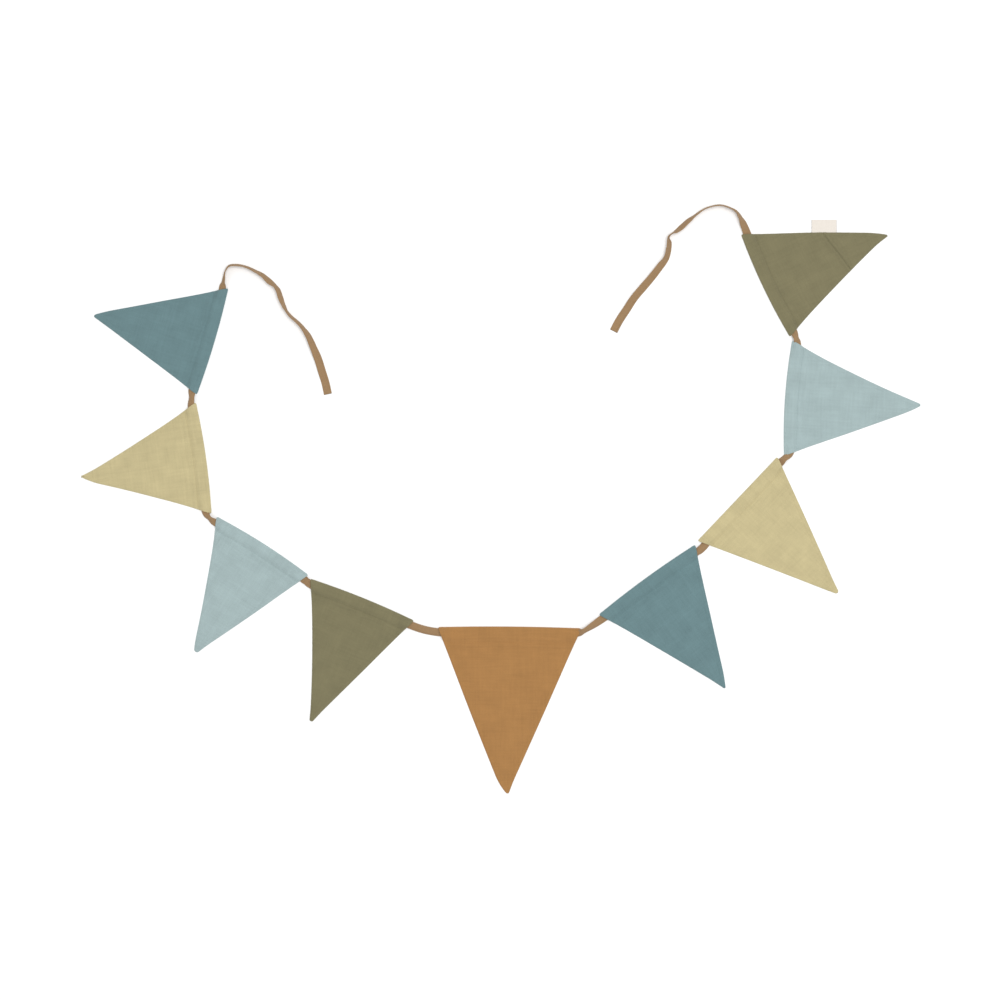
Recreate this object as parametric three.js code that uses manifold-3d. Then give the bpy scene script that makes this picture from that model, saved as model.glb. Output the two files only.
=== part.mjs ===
// Fabric bunting laid out flat: nine doubled cotton flags on one narrow tape that ends in a free tie
// at each side. Millimetres, +Z up. The cloth lies on the plane z = 0, the origin is under the middle
// of the layout, and the larger flag in the middle of the string points along -Y.

import * as THREE from 'three';
import Module from 'manifold-3d';

const wasm = await Module();
wasm.setup();

// Thickness of a flag's cloth in its plain middle, seam allowance, edge, stitching and channel
const PANEL_THICKNESS = 2.0;
const SEAM_THICKNESS = 2.4;
const EDGE_THICKNESS = 1.3;
const STITCH_THICKNESS = 1.6;
const FOLD_THICKNESS = 3.0;
const CHANNEL_THICKNESS = 3.6;
const MOUTH_THICKNESS = 3.2;

// Widths across a flag, from its edges inwards. TIP_SHARE: the most of the tip's width that one of its
// two roundings may take
const CHANNEL_DEPTH = 17;
const CHANNEL_DEPTH_LARGE = 21;
const STITCH_HALF_WIDTH = 2.0;
const EDGE_ROUNDING = 1.2;
const SEAM_WIDTH = 5.0;
const SEAM_STEP = 2.5;
const UNDERSIDE_CHAMFER = 0.4;
const CORNER_RADIUS = 2.5;
const TIP_RADIUS = 2.0;
const TIP_SHARE = 0.35;
const TIP_ROUNDING = 1.0;
const BOW_FADES_AT = 0.5;

// Grid of a flag
const BODY_ROWS = 7;
const MIDDLE_SPANS = 4;
const FULL_SEAM_ROW_WIDTH = 40;
const ON_EDGE = 1e-6;

// Soft ridge in which a flag stands off the surface
const RIDGE_HALF_WIDTH = 26;

// Pressed fold line across the last flag. drop: its distance from the top edge
const CREASE = { flag: 'flag_9_olive', drop: 103, slope: -0.216, rise: 0.9, halfWidth: 5, reach: 35 };

// Tape, from the tie at the first flag to the tie at the last
const TAPE_WIDTH = 10.5;
const TAPE_THICKNESS = 1.0;
const TAPE_FROM_TOP_EDGE = 7.8;
const RISE_IN_CHANNEL = 1.3;
const RISE_BETWEEN_FLAGS = 0.6;
const CHANNEL_STATIONS = [-0.47, -0.24, 0, 0.24, 0.47];
const STEPS_PER_SPAN = 4;
const STEPS_PER_CHANNEL_SPAN = 2;

// Room around the tape in a channel
const ROOM_BESIDE_TAPE = 0.6;
const ROOM_OVER_TAPE = 0.3;
const ROOM_PAST_MOUTH = 3;

// Folded label in the side seam of the last flag. alongSeam: its place, as a share of the drop
const LABEL = {
  flag: 'flag_9_olive', alongSeam: 0.567, width: 32.5, length: 16.3, thickness: 1.0, gap: 0.35,
};
const LABEL_PROFILE = [[0, 0.5], [0.3, 0.15], [0.6, 0], [1, 0]];

const CLOTH_COLOURS = {
  teal: 0x6b8b8f,
  straw: 0xcbbe91,
  paleBlue: 0xa8bcbe,
  olive: 0x847d5f,
  camel: 0xb08350,
  tape: 0xa88560,
  label: 0xf2e6d8,
};

// Flags in the order in which the tape passes them. x, y: middle of the top edge. heading: direction of
// the top edge in degrees. lean: how far the tip is off the middle, along the heading. topBow, leadBow,
// tailBow: how far the top edge and the two sides bow outwards. blunt: length lost at the turned tip.
// ridgeAt: the soft ridge's place across the channel, from -1 to 1. ridgeRise: its height.
const FLAGS = [
  // name, cloth, x, y, heading, width, drop, lean, topBow, leadBow, tailBow, blunt, ridgeAt, ridgeRise
  ['flag_1_teal', 'teal', -375, 205, -106.5, 144.5, 162, 11, 2.5, -0.5, -0.5, 5.5, 0.25, 1.2],
  ['flag_2_straw', 'straw', -386.5, 53.5, -82, 146.5, 166, 4.5, 3, -2.5, -2.5, 5.5, -0.3, 1.4],
  ['flag_3_pale_blue', 'paleBlue', -310, -60.5, -32.5, 141.5, 169.5, -1, 3, -2.5, 1, 7, 0.35, 1.1],
  ['flag_4_olive', 'olive', -180.5, -130.5, -22, 145.5, 174.5, -3, 2.5, -3, 0, 4, -0.2, 1.3],
  ['flag_5_camel', 'camel', 11, -167, -0.5, 186.5, 223, -4, 1.5, 1, 0.5, 8, 0.3, 1.5],
  ['flag_6_teal', 'teal', 189.5, -104.5, 36, 155, 177, 0.5, 2.5, -1, -0.5, 3.5, -0.35, 1.2],
  ['flag_7_straw', 'straw', 307, 0.5, 46.5, 150.5, 182.5, 0.5, 0, -0.5, 1, 5, 0.2, 1.3],
  ['flag_8_pale_blue', 'paleBlue', 373, 131.5, 86, 150.5, 178.5, 2.5, 4, 0.5, -4, 6.5, -0.25, 1.1],
  ['flag_9_olive', 'olive', 343.5, 277.5, 115.5, 147.5, 174, -7.5, 3.5, -2.5, 2, 3.5, 0.1, 0.8],
].map((row) => {
  const [name, cloth, x, y, heading, width, drop, lean, topBow, leadBow, tailBow, ...rest] = row;
  const [blunt, ridgeAt, ridgeRise] = rest;
  const end = drop - blunt;
  const channel = cloth === 'camel' ? CHANNEL_DEPTH_LARGE : CHANNEL_DEPTH;
  const outline = { width, drop, lean, topBow, leadBow, tailBow, end, channel };
  return { name, cloth, x, y, heading, blunt, ridgeAt, ridgeRise, ...outline };
});

// Bends of the tape outside the flags. x, y: its middle. roll: turn about its own run in degrees, where
// 0 and 180 lie flat and 90 stands on edge
const FIRST_TIE = [
  // x, y, roll
  [-225.1, 136.5, 0],
  [-228.4, 151.3, 0],
  [-233.0, 166.3, 6],
  [-237.8, 181.8, 14],
  [-244.7, 198.8, 36],
  [-250.0, 211.0, 48],
  [-257.9, 222.8, 66],
  [-264.7, 230.0, 70],
  [-273.1, 237.3, 72],
  [-278.7, 244.3, 77],
  [-282.5, 251.5, 66],
  [-286.4, 261.3, 55],
  [-289.5, 270.8, 58],
  [-293.4, 276.5, 66],
  [-300.9, 282.6, 48],
  [-309.4, 290.3, 60],
  [-319.7, 296.3, 71],
  [-331.6, 301.7, 76],
  [-343.7, 303.9, 74],
  [-353.4, 302.7, 76],
  [-358.0, 295.6, 83],
  [-360.6, 283.3, 66],
];
const BETWEEN_FLAGS = [
  // x, y, roll
  [-401.3, 131.6, 50],
  [-379.2, -24.8, 50],
  [-253.7, -107.6, 15],
  [-99.7, -170.2, 5],
  [113.4, -166.6, 48],
  [260.9, -64.7, 5],
  [367.1, 53.5, 22],
  [383.0, 210.2, 42],
];
const LAST_TIE = [
  // x, y, roll
  [315.3, 356.0, 24],
  [310.4, 366.0, 58],
  [305.6, 373.2, 71],
  [298.5, 377.5, 78],
  [284.9, 381.5, 80],
  [272.3, 379.6, 83],
  [262.4, 375.8, 82],
  [252.7, 368.9, 76],
  [242.1, 360.5, 55],
  [234.2, 353.1, 50],
  [227.6, 347.8, 62],
  [223.0, 345.4, 82],
  [217.7, 340.3, 102],
  [218.5, 332.7, 127],
  [217.1, 321.7, 133],
  [214.2, 312.2, 133],
  [206.7, 302.5, 150],
  [196.3, 289.1, 156],
  [184.4, 275.1, 160],
  [173.0, 261.6, 160],
  [162.6, 245.9, 170],
  [153.0, 231.4, 180],
  [146.2, 218.3, 180],
];

const { degToRad, lerp, smoothstep } = THREE.MathUtils;

// Share of a bow at a fraction t of its edge: 1 in the middle, 0 at both ends
const bowShape = (t) => 4 * t * (1 - t);

// Height at x of a broken line through points [x, height]
function along(points, x) {
  const next = points.findIndex(([at]) => at >= x);
  if (next === -1) return points[points.length - 1][1];
  if (next === 0) return points[0][1];
  const [x0, y0] = points[next - 1];
  const [x1, y1] = points[next];
  return lerp(y0, y1, (x - x0) / (x1 - x0));
}

// How far an edge draws in at a distance from a corner of the given radius
const roundOff = (radius, distance) =>
  distance < radius ? radius - Math.sqrt(radius ** 2 - (radius - distance) ** 2) : 0;

// Closed body between an upper and a lower grid of points, rows crossed with columns upwards
function closedSheet(upper, lower) {
  const rows = upper.length;
  const columns = upper[0].length;
  const positions = [...upper, ...lower].flat().flatMap((point) => point.toArray());
  const up = (i, j) => i * columns + j;
  const down = (i, j) => (rows + i) * columns + j;
  const index = [];
  const quad = (a, b, c, d) => index.push(a, b, c, a, c, d);
  for (let i = 0; i < rows - 1; i += 1) {
    for (let j = 0; j < columns - 1; j += 1) {
      quad(up(i, j), up(i + 1, j), up(i + 1, j + 1), up(i, j + 1));
      quad(down(i, j), down(i, j + 1), down(i + 1, j + 1), down(i + 1, j));
    }
    quad(up(i, 0), down(i, 0), down(i + 1, 0), up(i + 1, 0));
    quad(up(i + 1, columns - 1), down(i + 1, columns - 1), down(i, columns - 1), up(i, columns - 1));
  }
  for (let j = 0; j < columns - 1; j += 1) {
    quad(up(0, j + 1), down(0, j + 1), down(0, j), up(0, j));
    quad(up(rows - 1, j), down(rows - 1, j), down(rows - 1, j + 1), up(rows - 1, j + 1));
  }
  const geometry = new THREE.BufferGeometry();
  geometry.setAttribute('position', new THREE.Float32BufferAttribute(positions, 3));
  geometry.setIndex(index);
  return geometry;
}

function toSolid(geometry) {
  const vertProperties = geometry.attributes.position.array;
  const triVerts = Uint32Array.from(geometry.index.array);
  return new wasm.Manifold(new wasm.Mesh({ numProp: 3, vertProperties, triVerts }));
}

function toGeometry(solid) {
  const { vertProperties, triVerts } = solid.getMesh();
  const geometry = new THREE.BufferGeometry();
  geometry.setAttribute('position', new THREE.BufferAttribute(vertProperties, 3));
  geometry.setIndex(new THREE.BufferAttribute(triVerts, 1));
  return geometry;
}

function placement(flag) {
  const turn = new THREE.Matrix4().makeRotationZ(degToRad(flag.heading));
  return turn.setPosition(flag.x, flag.y, 0);
}

// Slope of a flag's row across the flag: level rows, apart from those near the pressed fold line
function rowSlope(flag, v) {
  if (flag.name !== CREASE.flag) return 0;
  return CREASE.slope * (1 - smoothstep(Math.abs(v - CREASE.drop), CREASE.halfWidth, CREASE.reach));
}

// In a flag's own frame u runs along its top edge, v from the top edge to the tip, which is along -Y.
// The top edge and the channel bow outwards, and the body has lost that bow halfway down.
function flagPoint(flag, u, v) {
  const fade = 1 - smoothstep(v, flag.channel, BOW_FADES_AT * flag.drop);
  const bow = flag.topBow * bowShape(u / flag.width + 0.5) * fade;
  return new THREE.Vector3(u, bow - v - rowSlope(flag, v) * u, 0);
}

// Place of a flag's side at v, on the leading side (-1) or the tail side (1), before its ends are rounded
function sideAt(flag, side, v) {
  const t = v / flag.drop;
  const bow = side < 0 ? flag.leadBow : flag.tailBow;
  return lerp((side * flag.width) / 2, flag.lean, t) + side * bow * bowShape(t);
}

// The two ends of a flag's row, where it meets the sides, with the top corners and the tip rounded
function rowEnds(flag, v) {
  const tipWidth = (flag.width * flag.blunt) / flag.drop;
  const tipRadius = Math.min(TIP_RADIUS, TIP_SHARE * tipWidth);
  const drawnIn = roundOff(CORNER_RADIUS, v) + roundOff(tipRadius, flag.end - v);
  return [-1, 1].map((side) => {
    const level = sideAt(flag, side, v);
    const sloped = sideAt(flag, side, v + rowSlope(flag, v) * level);
    return sideAt(flag, side, v + rowSlope(flag, v) * sloped) - side * drawnIn;
  });
}

// Where the channel's upper layer starts to slope down to its stitching
const roofEnd = TAPE_FROM_TOP_EDGE + TAPE_WIDTH / 2 + 2 * ROOM_BESIDE_TAPE;

function rowDistances(flag) {
  const bodyStart = flag.channel + STITCH_HALF_WIDTH;
  const bodyEnd = flag.end - TIP_ROUNDING;
  const rows = [0, EDGE_ROUNDING, TAPE_FROM_TOP_EDGE, roofEnd, flag.channel, flag.end];
  for (let i = 0; i <= BODY_ROWS; i += 1) {
    rows.push(lerp(bodyStart, bodyEnd, i / BODY_ROWS));
  }
  if (flag.name === CREASE.flag) {
    rows.push(CREASE.drop - CREASE.halfWidth, CREASE.drop, CREASE.drop + CREASE.halfWidth);
  }
  return rows.sort((a, b) => a - b);
}

// Places across a row: the edge, its rounding and the seam allowance at each side, and even spans between
function rowPlaces(left, right) {
  const scale = Math.min(1, (right - left) / FULL_SEAM_ROW_WIDTH);
  const insets = [0, EDGE_ROUNDING, SEAM_WIDTH, SEAM_WIDTH + SEAM_STEP].map((inset) => inset * scale);
  const innermost = insets[insets.length - 1];
  const places = insets.map((inset) => left + inset);
  for (let i = 1; i < MIDDLE_SPANS; i += 1) {
    places.push(lerp(left + innermost, right - innermost, i / MIDDLE_SPANS));
  }
  return [...places, ...insets.reverse().map((inset) => right - inset)];
}

// Thickness of the doubled cloth at a distance v from the top edge and inset from the nearest side
function clothThickness(flag, v, inset) {
  const channel = [
    [0, FOLD_THICKNESS],
    [EDGE_ROUNDING, CHANNEL_THICKNESS],
    [roofEnd, CHANNEL_THICKNESS],
    [flag.channel, STITCH_THICKNESS],
  ];
  const seam = [
    [0, EDGE_THICKNESS],
    [EDGE_ROUNDING, SEAM_THICKNESS],
    [SEAM_WIDTH, SEAM_THICKNESS],
    [SEAM_WIDTH + SEAM_STEP, PANEL_THICKNESS],
  ];
  if (v > flag.channel) return along(seam, inset);
  const mouth = [[0, MOUTH_THICKNESS], [EDGE_ROUNDING, CHANNEL_THICKNESS]];
  return Math.min(along(channel, v), along(mouth, inset));
}

// How far the cloth stands off the surface: a soft ridge from the channel to the tip, and the fold line
function clothRise(flag, u, v) {
  const t = (v - flag.channel) / (flag.end - flag.channel);
  if (t <= 0) return 0;
  const ridgeMiddle = lerp((flag.ridgeAt * flag.width) / 2, flag.lean, t);
  const across = Math.min(1, Math.abs(u - ridgeMiddle) / RIDGE_HALF_WIDTH);
  const ridge = flag.ridgeRise * Math.sin(Math.PI * t) * Math.cos((Math.PI / 2) * across) ** 2;
  const crease = flag.name === CREASE.flag
    ? CREASE.rise * Math.max(0, 1 - Math.abs(v - CREASE.drop) / CREASE.halfWidth)
    : 0;
  return ridge + crease;
}

function flagSheet(flag) {
  const upper = [];
  const lower = [];
  for (const v of rowDistances(flag)) {
    const [left, right] = rowEnds(flag, v);
    const row = rowPlaces(left, right).map((u) => {
      const inset = Math.min(u - left, right - u, flag.end - v);
      const point = flagPoint(flag, u, v);
      const bottom = clothRise(flag, u, v);
      const onEdge = inset < ON_EDGE || v === 0;
      return {
        upper: point.clone().setZ(bottom + clothThickness(flag, v, inset)),
        lower: point.clone().setZ(bottom + (onEdge ? UNDERSIDE_CHAMFER : 0)),
      };
    });
    upper.push(row.map((cell) => cell.upper));
    lower.push(row.map((cell) => cell.lower));
  }
  return closedSheet(upper, lower);
}

// Middle line of the tape as bends: position, roll, rise of its lower edge and steps to the next bend
function tapeBends() {
  const free = ([x, y, roll]) => ({ x, y, roll, rise: 0, steps: STEPS_PER_SPAN });
  const bends = FIRST_TIE.map(free);
  FLAGS.forEach((flag, i) => {
    const place = placement(flag);
    for (const station of CHANNEL_STATIONS) {
      const { x, y } = flagPoint(flag, station * flag.width, TAPE_FROM_TOP_EDGE).applyMatrix4(place);
      const last = station === CHANNEL_STATIONS[CHANNEL_STATIONS.length - 1];
      const steps = last ? STEPS_PER_SPAN : STEPS_PER_CHANNEL_SPAN;
      bends.push({ x, y, roll: 0, rise: RISE_IN_CHANNEL, steps });
    }
    if (i < BETWEEN_FLAGS.length) {
      bends.push({ ...free(BETWEEN_FLAGS[i]), rise: RISE_BETWEEN_FLAGS });
    }
  });
  return [...bends, ...LAST_TIE.map(free)];
}

// Stations of the tape: a smooth curve through the bends, with roll and rise eased from bend to bend
function tapeStations() {
  const bends = tapeBends();
  const curve = new THREE.CatmullRomCurve3(
    bends.map(({ x, y }) => new THREE.Vector3(x, y, 0)), false, 'centripetal');
  const spans = bends.length - 1;
  const stations = [];
  for (let span = 0; span < spans; span += 1) {
    const from = bends[span];
    const to = bends[span + 1];
    const steps = span === spans - 1 ? from.steps + 1 : from.steps;
    for (let step = 0; step < steps; step += 1) {
      const part = step / from.steps;
      const t = (span + part) / spans;
      const ease = smoothstep(part, 0, 1);
      stations.push({
        middle: curve.getPoint(t),
        run: curve.getTangent(t),
        roll: degToRad(lerp(from.roll, to.roll, ease)),
        rise: lerp(from.rise, to.rise, ease),
      });
    }
  }
  return stations;
}

// Flat strip along the stations, with room added beside it and over and under it
function strip(stations, beside, over) {
  const upper = [];
  const lower = [];
  for (const { middle, run, roll, rise } of stations) {
    const left = new THREE.Vector3(-run.y, run.x, 0);
    const across = left.clone().multiplyScalar(Math.cos(roll)).setZ(Math.sin(roll));
    const outwards = left.clone().multiplyScalar(-Math.sin(roll)).setZ(Math.cos(roll));
    const height = (Math.abs(TAPE_WIDTH * Math.sin(roll)) + Math.abs(TAPE_THICKNESS * Math.cos(roll))) / 2;
    const centre = middle.clone().setZ(rise + height);
    const edge = (side, face) => centre.clone()
      .addScaledVector(across, side * (TAPE_WIDTH / 2 + beside))
      .addScaledVector(outwards, face * (TAPE_THICKNESS / 2 + over));
    upper.push([edge(-1, 1), edge(1, 1)]);
    lower.push([edge(-1, -1), edge(1, -1)]);
  }
  return closedSheet(upper, lower);
}

function clothMesh(name, cloth, geometry) {
  const color = CLOTH_COLOURS[cloth];
  const material = new THREE.MeshStandardMaterial({ color, roughness: 0.9, metalness: 0 });
  const mesh = new THREE.Mesh(geometry, material);
  mesh.name = name;
  return mesh;
}

// A flag with its channel opened for the tape that passes through it
function flagMesh(flag, stations) {
  const reach = flag.width / 2 + ROOM_PAST_MOUTH;
  const intoFlag = placement(flag).invert();
  const near = stations.filter(({ middle }) => {
    const local = middle.clone().applyMatrix4(intoFlag);
    return Math.abs(local.x) < reach && Math.abs(local.y) < flag.channel;
  });
  const room = strip(near, ROOM_BESIDE_TAPE, ROOM_OVER_TAPE).applyMatrix4(intoFlag);
  const geometry = toGeometry(toSolid(flagSheet(flag)).subtract(toSolid(room)));
  const mesh = clothMesh(flag.name, flag.cloth, geometry);
  mesh.position.set(flag.x, flag.y, 0);
  mesh.rotation.z = degToRad(flag.heading);
  return mesh;
}

// The label stands out from the side seam: rows run outwards from the seam, columns along it
function labelMesh() {
  const flag = FLAGS.find(({ name }) => name === LABEL.flag);
  const drop = LABEL.alongSeam * flag.drop;
  const seamAt = (v) => new THREE.Vector3(sideAt(flag, 1, v), -v, 0);
  const seam = seamAt(drop);
  const downSeam = seamAt(drop + LABEL.width / 2).sub(seamAt(drop - LABEL.width / 2)).normalize();
  const outwards = new THREE.Vector3(-downSeam.y, downSeam.x, 0);
  const grid = (lift) => LABEL_PROFILE.map(([part, rise]) => [1, -1].map((side) => seam.clone()
    .addScaledVector(outwards, LABEL.gap + part * LABEL.length)
    .addScaledVector(downSeam, (side * LABEL.width) / 2)
    .setZ(rise + lift)));
  const mesh = clothMesh('label', 'label', closedSheet(grid(LABEL.thickness), grid(0)));
  mesh.position.set(flag.x, flag.y, 0);
  mesh.rotation.z = degToRad(flag.heading);
  return mesh;
}

const stations = tapeStations();
const bunting = new THREE.Group();
bunting.name = 'bunting';
FLAGS.forEach((flag) => bunting.add(flagMesh(flag, stations)));
bunting.add(clothMesh('tape', 'tape', strip(stations, 0, 0)));
bunting.add(labelMesh());

export default bunting;
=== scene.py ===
from collections import namedtuple

import bpy
import numpy as np
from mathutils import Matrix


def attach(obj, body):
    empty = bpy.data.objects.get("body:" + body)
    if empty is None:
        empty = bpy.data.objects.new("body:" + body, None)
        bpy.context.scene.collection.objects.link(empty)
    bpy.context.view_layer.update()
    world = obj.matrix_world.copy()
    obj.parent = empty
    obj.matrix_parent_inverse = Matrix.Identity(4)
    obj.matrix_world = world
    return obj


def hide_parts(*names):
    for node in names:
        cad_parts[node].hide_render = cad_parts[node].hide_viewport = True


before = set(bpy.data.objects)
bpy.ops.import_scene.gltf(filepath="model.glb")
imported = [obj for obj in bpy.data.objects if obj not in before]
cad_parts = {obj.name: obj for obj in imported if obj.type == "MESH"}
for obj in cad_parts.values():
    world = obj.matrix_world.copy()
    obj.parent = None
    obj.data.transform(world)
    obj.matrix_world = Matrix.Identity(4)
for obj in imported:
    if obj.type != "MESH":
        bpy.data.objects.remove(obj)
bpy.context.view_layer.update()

scene = bpy.context.scene
MM = 0.001


# Camera. The bunting lies flat and is seen from straight above, through a long lens from 3.6 m, so
# that its outline keeps its true proportions. The picture takes in a square of 1.3 m.
PICTURE_WIDTH = 1.3
PICTURE_MIDDLE = (-0.0015, -0.001)
LENS = 100.0
FARTHEST_SEEN = 50.0

camera_data = bpy.data.cameras.new("camera")
camera_data.lens = LENS
camera_data.clip_end = FARTHEST_SEEN
camera = bpy.data.objects.new("camera", camera_data)
camera.location = (*PICTURE_MIDDLE, PICTURE_WIDTH * LENS / camera_data.sensor_width)
scene.collection.objects.link(camera)
scene.camera = camera


# Flags. Each is two layers of plain-weave cotton, sewn together along its two sides and turned right
# side out, so that the seam allowances lie inside, along the edges. The top is folded to the back
# over the tape and stitched down as a channel that is open at both ends. Sizes are in mm.
SHEET = 0.8  # the two layers in the channel
PANEL = 1.2  # the two layers with the air between them
SEAM = 1.6  # the two layers with the seam allowances between them
SEAM_IN_CHANNEL = 0.5  # share of the allowances' thickness in the channel
PRESSED = 1.0  # the most that the cloth measures in the back flap and the fold
STITCHED = 0.7  # where the thread pulls the cloth together
STITCH_DIP = 0.25  # how far the thread draws the back flap in
STITCH_REACH = 2.2  # from the stitching to where the cloth is free of its pull
AIR_STARTS = 1.0  # down from the stitching
AIR_FULL = 6.0
TIP_BULK = 0.5  # added by the allowances folded into the tip
TIP_BULK_STARTS = 22.0  # up from the end of the tip
TIP_BULK_FULL = 6.0
SEAM_WIDTH = 5.0
SEAM_SLOPE = {"at edge": 1.0, "inside": 0.8}
EDGE_ROUNDING = 1.3

CHANNEL_DEPTH = {"teal": 17.0, "straw": 17.0, "pale_blue": 17.0, "olive": 17.0, "camel": 21.0}
FLAP_HEM = 2.5
FLOOR_GAP = 0.05
ROOF = 2.8  # height of the middle of the channel's upper sheet
FLAP = FLOOR_GAP + SHEET / 2  # and of its lower one
FOLD_RADIUS = (ROOF - FLAP) / 2
FOLD_AT = FOLD_RADIUS + SHEET / 2
SWELL = 0.1  # of the roof over the tape
SWELL_STARTS = 5.0  # down from the top edge, like the next two
SWELL_ENDS = 10.0
ROOF_ENDS = 12.2
STITCHED_HEIGHT = FLOOR_GAP + STITCH_DIP + STITCHED * 1.5  # middle of the front, on top of the flap
REBOUND = 0.2  # rise of the front over the hem of the flap
REBOUND_AFTER = 1.5
HEM_SLOPE = 7.0
MOUTH_RISE = 3.1
MOUTH_FULL = 4.0  # in from the side, like the next
MOUTH_REACH = 19.0
MOUTH_ARCH = {"starts": 1.5, "top from": 7.0, "top to": 9.0, "ends before stitching": 1.0}

CORNER_RADIUS = 2.5
TIP_RADIUS = 2.0
TIP_SHARE = 0.35  # the most of the tip's width that its rounding takes
TIP_BEND = 24.0  # up from the end of the tip
TIP_PUSH = {"inwards": 1.3, "outwards": 0.2}
BOW_FADES_AT = 0.5  # share of the drop
RIDGE_HALF_WIDTH = 26.0
CREASE = {
    "flag": "flag_9_olive", "drop": 103.0, "slope": -0.216, "half_width": 5.0, "reach": 35.0,
    "rise": 1.1, "valley": 1.9, "shoulder": 6.0,
}

Ripple = namedtuple("Ripple", "height lengths")
WAVES_ACROSS = Ripple(0.25, (31, 43, 67))
WAVES_DOWN = Ripple(0.25, (29, 47, 71))
WAVES_FADE = {"at sides": 14.0, "from stitching": 3.0, "full": 16.0}
ROW_PUCKERS = Ripple(0.2, (6.5, 8.7, 12.4))
ROW_PUCKERS_REACH = 5.5
ROW_PUCKERS_FADE = (0.4, 2.5)  # from the stitching
SEAM_PUCKERS = Ripple(0.16, (7.8, 10.6, 15.1))
SEAM_PUCKERS_REACH = 6.5
SEAM_PUCKERS_FADE = 8.0  # down from the stitching
RIPPLE_DRIFT = 0.35  # the most that a ripple slants

ROW_STEP = 1.5
ROWS_BESIDE_STITCHES = np.array([-1, 0, 1])
ROWS_BESIDE_CREASE = np.array([0.5, 1.0, 1.5, CREASE["valley"], 2.4, 3.2])
ROUNDING = EDGE_ROUNDING * (1 - np.cos(np.linspace(0, np.pi / 2, 5)))
FOLD_ANGLES = np.linspace(-np.pi / 2, np.pi / 2, 11)
SPANS_ACROSS = 84
SEAM_COLUMNS = np.array([1.9, 2.8, 3.8, 4.9, 5.7, 6.6, 8.0])  # in from the side
FULL_SEAM_ROW = 40.0  # width of the narrowest row with its seam columns at full distance
BOLT_STEP = np.array([311.0, 197.0])  # between the places where two flags are cut from the cloth
FIRST_SEED = 100

# x, y: middle of the top edge. heading: its turn, in degrees. lean: the tip's offset along it. bows:
# how far the three edges swell outwards. blunt: what the tip lacks of the drop. ridge_at: share of half
# the width. tip_shift, fullness: how far the tip is pushed sideways, and how far it swells
Flag = namedtuple("Flag", "name cloth x y heading width drop lean top_bow lead_bow tail_bow blunt "
                          "ridge_at rise tip_shift fullness")
FLAG_ROWS = [
    ("teal", -375, 205, -106.5, 144.5, 162, 11, 2.5, -0.5, -0.5, 5.0, 0.25, 1.2, 1.3, 0),
    ("straw", -386.5, 53.5, -82, 146.5, 166, 4.5, 3, -2.5, -2.5, 5.0, -0.3, 1.4, -3.6, 0.9),
    ("pale_blue", -310, -60.5, -32.5, 141.5, 169.5, -1, 3, -2.5, 1, 6.6, 0.35, 1.1, 1.8, 0.9),
    ("olive", -180.5, -130.5, -22, 145.5, 174.5, -3, 2.5, -3, 0, 3.0, -0.2, 1.3, 0.2, 1.0),
    ("camel", 11, -167, -0.5, 186.5, 223, -4, 1.5, 1, 0.5, 7.6, 0.3, 1.5, 4.2, 0.6),
    ("teal", 189.5, -104.5, 36, 155, 177, 0.5, 2.5, -1, -0.5, 3.5, -0.35, 1.2, -1.8, 0.6),
    ("straw", 307, 0.5, 46.5, 150.5, 182.5, 0.5, 0, -0.5, 1, 4.0, 0.2, 1.3, 1.0, 0.9),
    ("pale_blue", 373, 131.5, 86, 150.5, 178.5, 2.5, 4, 0.5, -4, 6.5, -0.25, 1.1, 1.0, -0.5),
    ("olive", 343.5, 277.5, 115.5, 147.5, 174, -7.5, 3.5, -2.5, 2, 2.9, 0.1, 0.8, -2.8, 1.6),
]
FLAGS = [Flag(f"flag_{number}_{row[0]}", *row) for number, row in enumerate(FLAG_ROWS, start=1)]


def eased(knots, x):
    """Height at x of a curve through the knots (place, height): 3t^2 - 2t^3 from each to the next."""
    place, height = np.array(knots, float).T
    k = np.clip(np.searchsorted(place, x) - 1, 0, len(place) - 2)
    t = np.clip((x - place[k]) / (place[k + 1] - place[k]), 0, 1)
    return height[k] + (height[k + 1] - height[k]) * t * t * (3 - 2 * t)


def bow_shape(t):
    """Parabola 4t(1 - t): 1 in the middle of an edge and 0 at its ends."""
    return 4 * t * (1 - t)


def round_off(radius, distance):
    """How far an edge draws in at a distance from a corner that is rounded by a quarter circle."""
    inside = np.clip(radius - distance, 0, radius)
    return radius - np.sqrt(radius**2 - inside**2)


def rounded_edge(distance, rounding):
    """Share of the thickness at a distance from an edge, which is rounded as a quarter ellipse."""
    return np.sqrt(1 - (1 - np.clip(distance / rounding, 0, 1)) ** 2)


def row_slope(flag, v):
    """Slope of a row across the flag: level, apart from the rows beside the pressed fold line."""
    if flag.name != CREASE["flag"]:
        return np.zeros_like(v)
    near = eased([(CREASE["half_width"], 1), (CREASE["reach"], 0)], np.abs(v - CREASE["drop"]))
    return CREASE["slope"] * near


def side_at(flag, side, v):
    """Place of a side at v: a straight line from the top corner to the tip, bowed as a parabola.

    Near the tip, as the square of the distance, it swells by the tip's fullness and bends by the tip's
    shift, which moves mostly the side where that is inwards."""
    t = v / flag.drop
    bow = flag.lead_bow if side < 0 else flag.tail_bow
    near_tip = np.clip(1 - (flag.drop - flag.blunt - v) / TIP_BEND, 0, 1)
    push = TIP_PUSH["inwards" if side * flag.tip_shift < 0 else "outwards"]
    pushed = (push * flag.tip_shift + side * flag.fullness) * near_tip**2
    return side * flag.width / 2 * (1 - t) + flag.lean * t + side * bow * bow_shape(t) + pushed


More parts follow.
